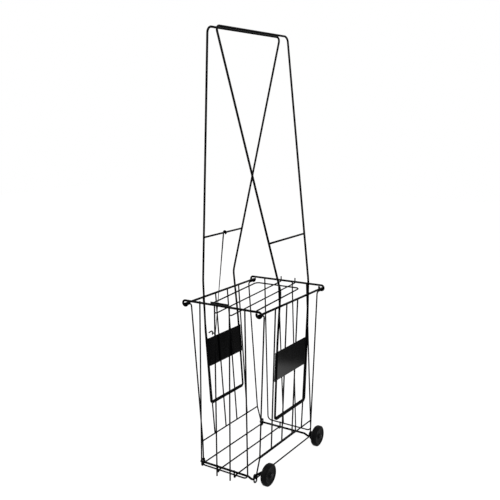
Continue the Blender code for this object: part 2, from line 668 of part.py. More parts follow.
def main():
    hopper = new_empty("hopper", (0, 0, 0))
    make_rim(hopper)
    make_side_grids(hopper)
    make_end_grids(hopper)
    make_base(hopper)
    make_wheels(hopper)
    handle_axes = make_handles(hopper)
    make_tie_rod(handle_axes["left"])
    make_lid(hopper)
    stand_on_floor(hopper)


main()
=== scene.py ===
"""Tennis ball hopper: smooth round wires, welds, wheels, plates, finishes, floor, lights and camera.

Every path is worked out in the basket's own frame, with X towards the wheels, Y from front to rear and
Z up from the bottom edge wires, and is then laid in the frame of the floor, because the hopper leans on
its wheels. Sizes are in metres."""

import json
import math
from types import SimpleNamespace

import bmesh
import bpy
import numpy as np
from bpy.props import FloatProperty, FloatVectorProperty, IntProperty, PointerProperty
from bpy.types import Operator, Panel, PropertyGroup
from mathutils import Euler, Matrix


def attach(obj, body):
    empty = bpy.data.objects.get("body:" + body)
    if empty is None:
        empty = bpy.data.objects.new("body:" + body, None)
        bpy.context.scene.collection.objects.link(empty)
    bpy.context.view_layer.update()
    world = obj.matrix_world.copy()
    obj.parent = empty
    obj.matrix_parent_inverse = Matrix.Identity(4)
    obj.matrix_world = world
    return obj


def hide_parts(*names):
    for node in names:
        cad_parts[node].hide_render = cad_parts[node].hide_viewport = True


bl_info = {
    "name": "Tennis ball hopper",
    "version": (1, 0, 0),
    "blender": (4, 5, 0),
    "location": "3D View > Sidebar > Hopper",
    "description": "Builds a wire tennis ball hopper with folding handles, a lid and two wheels",
    "category": "Object",
}

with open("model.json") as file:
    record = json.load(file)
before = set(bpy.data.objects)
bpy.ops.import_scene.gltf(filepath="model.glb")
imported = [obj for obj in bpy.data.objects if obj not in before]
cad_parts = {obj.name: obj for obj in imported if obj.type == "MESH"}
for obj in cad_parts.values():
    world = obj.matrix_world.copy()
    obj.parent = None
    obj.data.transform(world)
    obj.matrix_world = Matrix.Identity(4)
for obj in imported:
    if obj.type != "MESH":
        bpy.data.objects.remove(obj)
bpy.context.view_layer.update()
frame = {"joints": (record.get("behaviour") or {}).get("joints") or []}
JOINTS = {joint["name"]: joint for joint in frame["joints"]}
SIDES = (("left", -1), ("right", 1))
ENDS = (("front", -1), ("rear", 1))
MM = 0.001
X, Y, Z = np.eye(3)

# A direction along which no wire runs, from which each ring is started
SKEW = np.array([0.31, 0.57, 0.76])

# How far round a sphere the domed end of a wire goes, in how many rings
DOME_TURN = 1.35
DOME_RINGS = 3

# How far a weld bead's surface goes from its waist towards each tip
BEAD_TURN = 1.45

# The height at which the lamps are aimed
LAMP_AIM = (0, 0, 0.5)


def srgb(code):
    """A hex colour turned to linear: c / 12.92 below 0.04045, and ((c + 0.055) / 1.055) ** 2.4 above."""
    parts = np.array([int(code[place:place + 2], 16) for place in (1, 3, 5)]) / 255
    return tuple(np.where(parts < 0.04045, parts / 12.92, ((parts + 0.055) / 1.055) ** 2.4))


def length(note, millimetres):
    return FloatProperty(description=note, default=millimetres / 1000, precision=5, unit="LENGTH")


def number(note, value):
    return FloatProperty(description=note, default=value)


def colour(note, code):
    return FloatVectorProperty(description=note, default=srgb(code), size=3, min=0, max=1, subtype="COLOR")


class HopperWire(PropertyGroup):
    heavy_wire: length("Diameter of the bars and handles", 5.6)
    thin_wire: length("Diameter of the grids, base wires, lid and tie rod", 3.6)
    crossbar_wire: length("Diameter of each handle's crossbar", 4.8)
    coat_build: length("How much the black coat adds to a welded wire's diameter", 0.6)
    moving_coat: length("How much it adds where wires slide past each other", 0.2)
    gap: length("Running gap between neighbours", 0.3)
    weld: length("How far one wire of a grid is pressed into another", 0.5)


class HopperBasket(PropertyGroup):
    side_rim_height: length("Height of the side bars above the bottom wires", 468.6)
    rim_half_width: length("Middle to a side bar", 120.9)
    rim_half_length: length("Middle to an end bar", 166.4)
    rim_bar_end: length("How far a side bar runs past the end bars", 3.5)
    curl_radius: length("Bend of an end bar round a side bar", 7.5)
    bottom_half_width: length("Middle to a bottom edge wire", 87.4)
    waist_half_width: length("Middle to a cross wire", 97.6)
    waist_height: length("Height of the cross wire", 59.5)
    corner_half_length: length("Middle to a corner wire", 141.2)
    corner_top_reach: length("Length of the bent top of a corner wire", 19)
    corner_top_bend: length("Bend at the top of a corner wire", 8)
    upright_1_at_rim: length("Middle to an inner upright, at the rim", 29)
    upright_2_at_rim: length("Middle to an outer upright, at the rim", 87.1)
    upright_1_at_waist: length("Middle to an inner upright, at the waist", 28.2)
    upright_2_at_waist: length("Middle to an outer upright, at the waist", 83.2)
    eye_bend: length("Bend of an eye", 5.2)
    eye_straight: length("Straight sides of an eye", 11)


class HopperEndGrid(PropertyGroup):
    grid_top: length("How far the wires stand above the end bar's middle", 2.3)
    foot_reach: length("Middle to the bottom wire", 173.5)
    foot_height: length("Height of the bottom wire", 7.7)
    grid_bend: length("Bend at the bottom corners", 13)
    outer_at_rim: length("Middle to an outer wire, at the rim", 73.9)
    outer_at_foot: length("Middle to an outer wire, at the foot", 78.8)
    inner_at_rim: length("Middle to an inner wire, at the rim", 24.4)
    inner_at_foot: length("Middle to an inner wire, at the foot", 22.5)
    foot_lift: length("Gap under the two front feet", 0.6)


class HopperBase(PropertyGroup):
    bar_half_spacing: length("Middle to a base bar", 154)
    bar_height: length("Height of a base bar's middle", 3.4)
    bar_past_eye: length("Length of a base bar's left end", 5.5)
    dip: length("Drop before the right eye", 5)
    dip_to_eye: length("Dip to eye, along the bar", 11)
    hump: length("Rise past the right eye", 16)
    hump_past_eye: length("Eye to hump, along the bar", 14)
    stub_past_eye: length("Eye to the start of the stub axle", 30)
    stub_rise: length("Height of the stub axle above the bar", 13)
    stub_inset: length("How far the stub axle lies in from the bar", 17)
    base_wire_spacing: length("Between the two base wires", 56.6)
    hook_reach: length("Bar to the hooked tip of a base wire", 11.5)
    hook_drop: length("Drop of a base wire's hook", 4.3)
    hook_rise: length("Rise of a base wire's tip", 16)


class HopperWheel(PropertyGroup):
    wheel_radius: length("Axle to tread", 31)
    wheel_width: length("Hub width", 13)
    tread_width: length("Flat of the tread", 4)
    tyre_lip: length("How far the tyre reaches inwards past the hub", 5)
    hub_radius: length("Radius of the raised hub", 9)
    wheel_gap: length("Stub bend to hub", 1)
    cap_radius: length("Radius of a push-on cap", 6)
    cap_wall: length("Thickness of a cap's crown", 1.5)
    stub_past_wheel: length("How far a stub axle stands past its wheel", 2.2)


class HopperHandle(PropertyGroup):
    hinge_height: length("Height of the hinges", 151)
    tube_radius: length("Outer radius of a hinge tube", 4.7)
    tube_half_length: length("Half the length of a hinge tube", 74)
    pin_length: length("How far a handle's end runs into its tube", 40)
    leg_half_spacing: length("Middle to a leg at the hinge", 81)
    leg_foot_bend: length("Bend from pin to leg", 6)
    leg_straight_to: length("Height up to which the legs are parallel", 370)
    leg_bend_height: length("Height of the bend above the rim", 513.3)
    leg_bend_half_spacing: length("Middle to a leg at the bend", 74.3)
    leg_bend_radius: length("Bend above the rim", 60)
    top_height: length("Height of the top bar", 1188.2)
    top_half_length: length("Middle to a top corner", 168.9)
    top_offset: length("Middle to a top bar", 12.6)
    top_bend: length("Bend of the top corners", 13)
    crossbar_height: length("Height of the crossbars", 642)


class HopperPlate(PropertyGroup):
    sheet: length("Thickness of a latch plate", 1)
    plate_bottom: length("Height of the lower edge", 261.5)
    plate_top: length("Height of the upper edge", 344.3)
    channel_depth: length("Depth of the turned edge", 4)
    bead_width: length("Width of the pressed bead beside a leg", 3.6)
    bead_height: length("Height of the pressed bead", 2.2)


class HopperTieRod(PropertyGroup):
    rod_length: length("Crossbar to lower hook", 314)
    bight: length("Bend of the lower hook", 5.5)
    hook_return: length("Height of the lower hook", 13)
    tip_out: length("How far the tip is turned out", 13)
    hook_sweep: FloatProperty(description="How far the rod is bent round the crossbar",
                              default=math.radians(240), subtype="ANGLE")
    slope: number("Slope of the rod towards the front", 0.07)
    rod_aside: length("How far behind the crossbar's middle the rod hangs", 6)


class HopperLid(PropertyGroup):
    lid_front_height: length("Height of the long wires at the front", 454)
    toe: length("Length of the bent front end", 7)
    toe_bend: length("Bend of the front end", 3)
    lid_half_width: length("Middle to a side of the lid's frame", 75)
    lid_frame_front: length("Where the sides of the frame end", -108.5)
    lid_frame_rear: length("Where the far side of the frame is", 118)
    lid_frame_bend: length("Bend of the frame's corners", 12)
    strip_length: length("Length of the flat strip", 61)
    strip_height: length("Height of the flat strip", 8)
    strip_sheet: length("Thickness of the flat strip", 1.6)
    strip_past_side: length("How far the strip runs past the frame", 2.5)
    lid_tail: length("How far a long wire stands above the rear bar's middle", 10.5)


class HopperFinish(PropertyGroup):
    wire_paint: colour("Powder coat on the wires", "#070708")
    sheet_paint: colour("Powder coat on the plates", "#070708")
    worn_paint: colour("Powder coat rubbed thin", "#141415")
    wheel_plastic: colour("Moulded plastic of the wheels", "#080809")
    cap_steel: colour("Blackened steel of the axle caps", "#2A2A2C")
    wire_shine: number("Specular level of the coated wires", 0.03)
    sheet_shine: number("Specular level of the coated plates", 0.36)
    plastic_shine: number("Specular level of the wheels", 0.06)
    orange_peel: length("Width of the ripples in the powder coat", 1.6)
    mould_grain: length("Width of the grain on the wheels", 0.8)


class HopperStage(PropertyGroup):
    floor_size: length("Side of the floor", 12000)
    lens: number("Focal length on a 36 mm sensor", 49.547)
    camera_place: FloatVectorProperty(description="Where the camera stands", size=3,
                                      default=(1.05313, -1.57159, 0.99858), subtype="TRANSLATION")
    camera_turn: FloatVectorProperty(description="How the camera is turned", size=3,
                                     default=tuple(math.radians(a) for a in (78.4388, 0.009, 34.1635)),
                                     subtype="EULER")
    key_power: number("Power of the key light, in watts", 70)
    fill_power: number("Power of the fill light, in watts", 30)
    world_level: number("Level of the world's light", 0.4)
    paper_pale: number("How pale the paper under the hopper is", 0.85)
    floor_pale: number("How pale the floor beyond it is", 0.1)
    paper_radius: length("Radius of the pale paper under the hopper", 780)
    paper_edge: length("Width over which the paper fades into the floor", 60)
    shadow_depth: number("How grey the floor's shadow may get", 0.2)
    segments: IntProperty(description="Sides of a round wire", default=18)


GROUPS = {group.__name__.lower(): group for group in (
    HopperWire, HopperBasket, HopperEndGrid, HopperBase, HopperWheel, HopperHandle, HopperPlate,
    HopperTieRod, HopperLid, HopperFinish, HopperStage)}


def hopper_sizes():
    """Every size by name, and those that follow from them."""
    s = SimpleNamespace()
    for group_name, group in GROUPS.items():
        values = getattr(bpy.context.scene, group_name)
        for size_name in group.__annotations__:
            setattr(s, size_name, getattr(values, size_name))
    s.heavy = s.heavy_wire / 2
    s.thin = s.thin_wire / 2
    s.end_rim_height = s.side_rim_height - s.gap + s.curl_radius * 2 - s.heavy * 2
    s.grid_rim_y = s.rim_half_length - s.heavy - s.thin - s.gap
    s.inner_foot_y = s.foot_reach + s.thin_wire - s.weld
    s.eye_pitch = s.thin_wire + s.gap
    s.stub_height = s.bar_height + s.stub_rise
    s.stub_start = s.bottom_half_width + s.stub_past_eye
    s.wheel_inner = s.stub_start + s.wheel_gap
    s.wheel_x = s.wheel_inner + s.wheel_width / 2
    s.wheel_y = s.bar_half_spacing - s.stub_inset
    s.stub_end = s.wheel_inner + s.wheel_width + s.stub_past_wheel
    s.panel_slope = (s.rim_half_width - s.waist_half_width) / (s.side_rim_height - s.waist_height)
    s.hinge_x = panel_x(s, s.hinge_height) + s.thin + s.gap + s.tube_radius
    at_rim = s.rim_half_width + s.heavy * 2 + s.gap
    s.leg_slope = (at_rim - s.hinge_x) / (s.side_rim_height - s.hinge_height)
    s.leg_bend_x = s.hinge_x + s.leg_slope * (s.leg_bend_height - s.hinge_height)
    share = (s.crossbar_height - s.leg_bend_height) / (s.top_height - s.leg_bend_height)
    s.crossbar_x = s.leg_bend_x + share * (s.top_offset - s.leg_bend_x)
    s.crossbar_y = s.leg_bend_half_spacing + share * (s.top_half_length - s.leg_bend_half_spacing)
    return s


def panel_x(s, height):
    """Distance of a side grid's plane from the middle, at a height above the waist."""
    return s.waist_half_width + (height - s.waist_height) * s.panel_slope


def basket_frame(s):
    """(axes, place) of the basket's own frame on the floor, from the two handle hinges."""
    left, right = (np.array(JOINTS[name + "_handle_hinge"]["pos_m"]) for name in ("left", "right"))
    across = unit(right - left)
    along = np.array([0.0, 1.0, 0.0])
    up = np.cross(across, along)
    return np.array([across, along, up]), (left + right) / 2 - up * s.hinge_height

# Paths

def unit(vectors):
    return vectors / np.linalg.norm(vectors, axis=-1, keepdims=True)


def bent(points, radius, step=math.radians(10)):
    """The points with each inner corner replaced by an arc tangent to both sides:
    middle + bow (cos a . first - sin a . back), for a from 0 to the corner's turn."""
    points = np.asarray(points, float)
    path = [points[:1]]
    for before, corner, after in zip(points, points[1:], points[2:]):
        back = unit(before - corner)
        ahead = unit(after - corner)
        turn = math.pi - math.acos(np.clip(back @ ahead, -1, 1))
        if turn < 1e-4:
            path.append(corner[None])
            continue
        room = 0.49 * min(np.linalg.norm(before - corner), np.linalg.norm(after - corner))
        reach = min(radius * math.tan(turn / 2), room)
        bow = reach / math.tan(turn / 2)
        middle = corner + unit(back + ahead) * bow / math.cos(turn / 2)
        first = unit(corner + back * reach - middle)
        a = np.linspace(0, turn, max(2, math.ceil(turn / step) + 1))[:, None]
        path.append(middle + bow * (np.cos(a) * first - np.sin(a) * back))
    path.append(points[-1:])
    return np.concatenate(path)


def arc(middle, radius, start, sweep, across, up, step=math.radians(10)):
    """middle + radius (cos a . across + sin a . up), for a from start through sweep, in radians."""
    a = start + np.linspace(0, sweep, max(3, math.ceil(abs(sweep) / step) + 1))[:, None]
    return np.asarray(middle) + radius * (np.cos(a) * np.asarray(across) + np.sin(a) * np.asarray(up))


def mirrored(points, axis):
    flip = np.ones(3)
    flip[axis] = -1
    return np.asarray(points, float) * flip


# Surfaces: each is (points, faces)

def ring_faces(rings, around, closed=False):
    """Quads between neighbouring rings of a grid of points, wrapped round each ring."""
    ring = np.arange(rings if closed else rings - 1)[:, None]
    step = np.arange(around)[None]
    after_ring = (ring + 1) % rings
    after_step = (step + 1) % around
    quads = [ring * around + step, ring * around + after_step, after_ring * around + after_step,
             after_ring * around + step]
    return np.stack(quads, axis=-1).reshape(-1, 4)


def capped(points, rings, around):
    """The points with the quads between their rings and a face over each end."""
    first = list(range(around))[::-1]
    last = list(range((rings - 1) * around, rings * around))
    return points, ring_faces(rings, around).tolist() + [first, last]


def ring_axes(axis):
    """The axis and two directions at right angles to it."""
    axis = unit(np.asarray(axis, float))
    side = unit(np.cross(axis, SKEW))
    return axis, side, np.cross(axis, side)


def round_wire(path, diameter, segments, dome=0.3):
    """A ring of this diameter carried along the path: centre + r (cos a . side + sin a . lift), where side
    is carried along without twist. Each cut end is domed by rings whose radius falls as a cosine."""
    path = np.asarray(path, float)
    path = path[np.concatenate([[True], np.linalg.norm(np.diff(path, axis=0), axis=1) > 1e-6])]
    radius = diameter / 2
    t = np.linspace(0, DOME_TURN, DOME_RINGS + 1)[1:]
    start = path[0] + unit(path[0] - path[1]) * radius * dome * np.sin(t[::-1])[:, None]
    end = path[-1] + unit(path[-1] - path[-2]) * radius * dome * np.sin(t)[:, None]
    centres = np.concatenate([start, path, end])
    radii = np.concatenate([np.cos(t[::-1]), np.ones(len(path)), np.cos(t)]) * radius
    steps = unit(np.diff(path, axis=0))
    tangents = unit(np.concatenate([steps[:1], steps[:-1] + steps[1:], steps[-1:]]))
    tangents = np.pad(tangents, ((DOME_RINGS, DOME_RINGS), (0, 0)), mode="edge")
    side = unit(np.cross(tangents[0], SKEW))
    carried = []
    for tangent in tangents:
        side = unit(side - (side @ tangent) * tangent)
        carried.append(side)
    sides = np.array(carried)
    lifts = np.cross(tangents, sides)
    a = (np.arange(segments) * 2 * math.pi / segments)[None, :, None]
    circle = np.cos(a) * sides[:, None] + np.sin(a) * lifts[:, None]
    points = (centres[:, None] + radii[:, None, None] * circle).reshape(-1, 3)
    return capped(points, len(centres), segments)


def weld_bead(centre, along, radius, size, rings=8, around=12):
    """A fillet of weld: a spheroid, centre + size (cos v . ring) + radius sin v . along."""
    along, side, lift = ring_axes(along)
    v = np.linspace(-BEAD_TURN, BEAD_TURN, rings)[:, None, None]
    u = (np.arange(around) * 2 * math.pi / around)[None, :, None]
    ring = np.cos(u) * side + np.sin(u) * lift
    points = np.asarray(centre) + size * np.cos(v) * ring + radius * np.sin(v) * along
    return capped(points.reshape(-1, 3), rings, around)


def turned(profile, centre, axis, steps):
    """A closed profile of (radius, height) swept round an axis: centre + r (cos a . side + sin a . lift)
    + h . axis."""
    profile = np.asarray(profile, float)
    axis, side, lift = ring_axes(axis)
    a = (np.arange(steps) * 2 * math.pi / steps)[None, :, None]
    ring = np.cos(a) * side + np.sin(a) * lift
    points = np.asarray(centre) + profile[:, 0, None, None] * ring + profile[:, 1, None, None] * axis
    return points.reshape(-1, 3), ring_faces(len(profile), steps, closed=True).tolist()


def folded_sheet(line, thickness, low, high, across, out, up):
    """A folded line given a thickness and carried upwards: x . across + y . out + h . up. The outline is the
    line pushed half the thickness to each side along its normals, a little less at the two cut edges."""
    line = np.asarray(line, float)
    steps = unit(np.diff(line, axis=0))
    normals = np.stack([-steps[:, 1], steps[:, 0]], axis=1)
    at_bends = unit(np.concatenate([normals[:1], normals[:-1] + normals[1:], normals[-1:]]))
    miter = 1 / np.clip((at_bends[1:-1] * normals[1:]).sum(1), 0.6, 1)
    miter = np.concatenate([[1], miter, [1]])[:, None]
    soften = thickness * 0.22
    rings = []
    for height, less in ((low, soften), (low + soften, 0), (high - soften, 0), (high, soften)):
        push = at_bends * miter * (thickness / 2 - less)
        outline = np.concatenate([line + push, (line - push)[::-1]])
        rings.append(outline[:, :1] * across + outline[:, 1:] * out + height * up)
    return capped(np.concatenate(rings), len(rings), len(line) * 2)


def joined(shells):
    points, faces, count = [], [], 0
    for shell_points, shell_faces in shells:
        points.append(shell_points)
        faces += [[corner + count for corner in face] for face in shell_faces]
        count += len(shell_points)
    return np.concatenate(points), faces


# Pieces

def make_piece(name, shell, material, node, body, smooth_angle=50):
    """Lays a shell in the basket's frame on the floor, as a piece that stands for a node and rides a body."""
    old = bpy.data.objects.get(name)
    if old:
        bpy.data.objects.remove(old)
    points, faces = shell
    axes, place = basket_frame(hopper_sizes())
    mesh = bpy.data.meshes.new(name)
    mesh.from_pydata((points @ axes + place).tolist(), [], faces)
    shape = bmesh.new()
    shape.from_mesh(mesh)
    bmesh.ops.remove_doubles(shape, verts=shape.verts, dist=1e-6)
    bmesh.ops.recalc_face_normals(shape, faces=shape.faces)
    shape.to_mesh(mesh)
    shape.free()
    mesh.shade_smooth()
    mesh.set_sharp_from_angle(angle=math.radians(smooth_angle))
    mesh.materials.append(material)
    piece = bpy.data.objects.new(name, mesh)
    bpy.context.scene.collection.objects.link(piece)
    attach(piece, body)
    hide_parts(node)
    return piece


# Finishes

def add_node(tree, kind, settings=None, links=None):
    """A node of that kind with its settings, given by attribute or by input, and what feeds its inputs."""
    node = tree.nodes.new(kind)
    for key, value in (settings or {}).items():
        if key in node.inputs:
            node.inputs[key].default_value = value
        else:
            setattr(node, key, value)
    for key, source in (links or {}).items():
        tree.links.new(source, node.inputs[key])
    return node


def new_finish(name, slot, base, roughness, metallic=0.0, specular=0.5):
    material = bpy.data.materials.get(name)
    if material:
        bpy.data.materials.remove(material)
    material = bpy.data.materials.new(name)
    material.use_nodes = True
    material["slot"] = slot
    shader = material.node_tree.nodes["Principled BSDF"]
    shader.inputs["Base Color"].default_value = (*base, 1)
    shader.inputs["Roughness"].default_value = roughness
    shader.inputs["Metallic"].default_value = metallic
    shader.inputs["Specular IOR Level"].default_value = specular
    return material, material.node_tree, shader

def add_noise(tree, scale, detail, roughness=0.5):
    """Noise over the piece's own coordinates."""
    place = add_node(tree, "ShaderNodeTexCoord").outputs["Object"]
    settings = {"Scale": scale, "Detail": detail, "Roughness": roughness}
    return add_node(tree, "ShaderNodeTexNoise", settings, {"Vector": place}).outputs["Fac"]


def add_range(tree, value, to, over=(0.0, 1.0)):
    """The value, as it goes over one range, turned to another."""
    settings = {"From Min": over[0], "From Max": over[1], "To Min": to[0], "To Max": to[1]}
    return add_node(tree, "ShaderNodeMapRange", settings, {"Value": value}).outputs["Result"]


def add_wear(tree, shader, base, worn, share):
    """The colour goes from base to worn with the share."""
    tint = add_node(tree, "ShaderNodeMix", {"data_type": "RGBA"}, {0: share})
    tint.inputs[6].default_value = (*base, 1)
    tint.inputs[7].default_value = (*worn, 1)
    tree.links.new(tint.outputs[2], shader.inputs["Base Color"])


def add_bump(tree, shader, height, strength, depth):
    bump = add_node(tree, "ShaderNodeBump", {"Strength": strength, "Distance": depth}, {"Height": height})
    tree.links.new(bump.outputs["Normal"], shader.inputs["Normal"])


def powder_coat(s, kind, base, roughness, specular):
    """Polyester powder coat, sprayed dry and baked: it flows into a fine orange peel that breaks up each
    highlight, is a little duller in patches, and is rubbed grey where balls and hands slide along it."""
    name = f"powder_coated_{kind}"
    if name in bpy.data.materials:
        return bpy.data.materials[name]
    material, tree, shader = new_finish(name, f"black_painted_{kind}", base, roughness, specular=specular)
    patches = add_noise(tree, 22.0, 3.0, 0.6)
    add_wear(tree, shader, base, s.worn_paint, add_range(tree, patches, to=(0.0, 0.55), over=(0.56, 0.8)))
    dulled = add_range(tree, patches, to=(roughness * 0.8, roughness * 1.25), over=(0.3, 0.7))
    tree.links.new(dulled, shader.inputs["Roughness"])
    add_bump(tree, shader, add_noise(tree, 1 / s.orange_peel, 2.0, 0.4), strength=0.12, depth=0.3 * MM)
    return material


def wheel_finish(s):
    """Injection-moulded polypropylene, black all through: a satin skin with a fine spark-eroded grain, and
    a tread scuffed duller and greyer by the court."""
    material, tree, shader = new_finish("moulded_polypropylene", "black_wheel_plastic", s.wheel_plastic,
                                        roughness=0.34, specular=s.plastic_shine)
    scuffs = add_noise(tree, 140.0, 4.0, 0.7)
    worn = add_range(tree, scuffs, to=(0.0, 0.4), over=(0.5, 0.75))
    add_wear(tree, shader, s.wheel_plastic, s.worn_paint, worn)
    tree.links.new(add_range(tree, scuffs, to=(0.28, 0.48)), shader.inputs["Roughness"])
    add_bump(tree, shader, add_noise(tree, 1 / s.mould_grain, 2.0), strength=0.15, depth=0.2 * MM)
    return material


def cap_finish(s):
    """Pressed spring steel blackened with oxide: a dark metal with faint draw marks."""
    material, tree, shader = new_finish("blackened_steel", "blackened_cap_steel", s.cap_steel,
                                        roughness=0.32, metallic=1.0)
    marks = add_noise(tree, 900.0, 3.0)
    tree.links.new(add_range(tree, marks, to=(0.26, 0.44)), shader.inputs["Roughness"])
    add_bump(tree, shader, marks, strength=0.1, depth=0.1 * MM)
    return material


def wire_finish(s):
    return powder_coat(s, "wire", s.wire_paint, roughness=0.3, specular=s.wire_shine)


def sheet_finish(s):
    return powder_coat(s, "sheet", s.sheet_paint, roughness=0.13, specular=s.sheet_shine)

def coated(s, path, diameter, coat=None):
    """A round wire with its coat, which is a welded wire's unless another is given."""
    return round_wire(path, diameter + (s.coat_build if coat is None else coat), s.segments)


def make_wire(s, name, shell, node, body="basket", smooth_angle=50):
    return make_piece(name, shell, wire_finish(s), node, body, smooth_angle)


# Basket paths

def eye_path(s):
    """One turn round the front base bar, moving in by one wire and a gap."""
    half = s.eye_straight / 2
    low = arc((0, 0, -half), s.eye_bend, 0, -math.pi, Y, Z)
    high = arc((0, 0, half), s.eye_bend, math.pi, -math.pi, Y, Z)
    level = [[0, s.eye_bend, 0]]
    turn = np.concatenate([level, low, high, level])
    run = np.concatenate([[0], np.cumsum(np.linalg.norm(np.diff(turn, axis=0), axis=1))])
    turn[:, 0] = s.bottom_half_width + s.eye_pitch * (1 - run / run[-1])
    return turn + [0, -s.bar_half_spacing, s.bar_height]


def edge_wire_path(s):
    """The right side's outer wire from the middle of the bottom edge to its front top end."""
    eye = eye_path(s)
    under_rim = s.side_rim_height - s.heavy - s.gap - s.thin
    bottom = bent([(s.bottom_half_width, 0, 0), (s.bottom_half_width, eye[-1][1], 0), eye[-1]], s.eye_bend)
    rise = [eye[0] + [0, 0, s.eye_straight / 2 + s.eye_bend],
            (s.waist_half_width, -s.corner_half_length, s.waist_height),
            (panel_x(s, under_rim), -s.corner_half_length, under_rim),
            (panel_x(s, under_rim), -s.corner_half_length - s.corner_top_reach, under_rim)]
    return np.concatenate([bottom[:-1], eye[::-1], bent(rise, s.corner_top_bend)])


def inner_wire(s, side, end, foot_height):
    top = np.array([side * s.inner_at_rim, end * s.grid_rim_y, s.end_rim_height + s.grid_top])
    foot = np.array([side * s.inner_at_foot, end * s.inner_foot_y, s.foot_height])
    return np.array([top + (foot - top) * (top[2] - foot_height) / (top[2] - s.foot_height), top])


def stub_path(s):
    """The right end of the front base bar: a dip, the climb through the eye, a hump, then the stub axle."""
    eye_x = s.bottom_half_width + s.eye_pitch / 2
    y = -s.bar_half_spacing
    in_y = y + s.stub_inset
    shape = [(eye_x - 2 * s.dip_to_eye, y, s.bar_height),
             (eye_x - s.dip_to_eye, y, s.bar_height - s.dip),
             (eye_x - s.dip_to_eye / 2, y, s.bar_height - s.dip * 0.8),
             (eye_x + s.hump_past_eye / 2, y, s.bar_height + s.hump * 0.85),
             (eye_x + s.hump_past_eye, in_y, s.bar_height + s.hump),
             (s.stub_start - s.heavy, in_y, s.stub_height),
             (s.stub_end, in_y, s.stub_height)]
    return bent(shape, s.heavy * 2.2)


def handle_path(s):
    """The right handle from the end of its front hinge pin to the middle of its top bar."""
    half = [(s.hinge_x, s.tube_half_length - s.pin_length, s.hinge_height),
            (s.hinge_x, s.leg_half_spacing, s.hinge_height),
            (s.hinge_x + s.leg_slope * (s.leg_straight_to - s.hinge_height), s.leg_half_spacing,
             s.leg_straight_to),
            (s.leg_bend_x, s.leg_bend_half_spacing, s.leg_bend_height),
            (s.top_offset, s.top_half_length, s.top_height),
            (s.top_offset, 0, s.top_height)]
    foot = bent(half[:3], s.leg_foot_bend)
    shank = bent(half[1:5], s.leg_bend_radius)
    top = bent(half[3:], s.top_bend)
    return np.concatenate([foot[:-1], shank[1:-1], top[1:]])


def plate_line(s):
    """Half outline of the plate's sheet seen from above, from the middle out: across, outward."""
    half_channel = s.heavy + s.gap + s.sheet / 2
    bead = s.leg_half_spacing - half_channel
    edge = s.leg_half_spacing + half_channel
    corners = [(0, 0), (bead - s.bead_width, 0), (bead - s.bead_width * 0.7, s.bead_height),
               (bead - s.bead_width * 0.3, s.bead_height), (bead, 0), (edge, 0), (edge, s.channel_depth)]
    return bent(corners, s.sheet * 0.7, math.radians(20))


def lid_front_y(s):
    top = s.end_rim_height + s.grid_top
    share = (top - s.lid_front_height) / (top - s.foot_height)
    grid_y = s.grid_rim_y + share * (s.inner_foot_y - s.grid_rim_y)
    return -grid_y + s.thin_wire + s.gap


def lid_wire_height(s, y):
    start = lid_front_y(s)
    rise = s.end_rim_height - s.heavy - s.gap - s.thin - s.lid_front_height
    return s.lid_front_height + rise * (y - start) / (s.rim_half_length - start)


def tie_rod_path(s):
    """Hooked over the left crossbar, down past the left top bar, and bent back as a hook with its tip out."""
    pivot = np.array([-s.crossbar_x, 0, s.crossbar_height])
    rim = np.array([-s.rim_half_width, 0, s.side_rim_height])
    hook_radius = s.crossbar_wire / 2 + s.gap + s.thin
    lean_out = math.asin((s.heavy + s.gap + s.thin - hook_radius) / np.linalg.norm(rim - pivot))
    run = unit(rim - pivot)
    down = np.array([math.cos(lean_out) * run[0] + math.sin(lean_out) * run[2], 0,
                     math.cos(lean_out) * run[2] - math.sin(lean_out) * run[0]])
    out = np.array([down[2], 0, -down[0]])
    hook = arc(pivot, hook_radius, math.pi - s.hook_sweep, s.hook_sweep, -out, -down)
    low = s.rod_length - s.bight + s.thin
    far = hook_radius + 2 * s.bight
    bight = arc(pivot + down * low + out * (hook_radius + s.bight), s.bight, math.pi, math.pi, out, down)
    back = [bight[-1], pivot + down * (low - s.hook_return) + out * far,
            pivot + down * (low - s.hook_return * 0.2) + out * (far + s.tip_out)]
    path = np.concatenate([hook, bight[:-1], bent(back, s.thin_wire)])
    path[:, 1] += s.rod_aside - np.maximum(0, (path - pivot) @ down) * s.slope
    return path


def both_ways(half, axis):
    """A path from its middle outwards, carried on through the middle to its mirror image."""
    half = np.asarray(half, float)
    return np.concatenate([mirrored(half[:0:-1], axis), half])

def lid_wire_x(s, side):
    return side * s.inner_at_rim + s.thin_wire + s.gap


class HOPPER_OT_rim(Operator):
    """Four heavy bars round the top, the end bars curled round the side bars"""
    bl_idname = "hopper.rim"
    bl_label = "Rim bars"

    def execute(self, context):
        s = hopper_sizes()
        side_end = s.rim_half_length + s.heavy + s.rim_bar_end
        for name, side in SIDES:
            x = side * s.rim_half_width
            path = [(x, -side_end, s.side_rim_height), (x, side_end, s.side_rim_height)]
            make_wire(s, f"side_bar_{name}", coated(s, path, s.heavy_wire), f"rim_bar_{name}")
        for name, end in ENDS:
            middle = (s.rim_half_width, end * s.rim_half_length, s.end_rim_height - s.curl_radius)
            curl = arc(middle, s.curl_radius, math.pi / 2, -math.radians(290), X, Z)
            path = np.concatenate([mirrored(curl, 0)[::-1], curl])
            make_wire(s, f"end_bar_{name}", coated(s, path, s.heavy_wire), f"rim_bar_{name}")
        return {"FINISHED"}


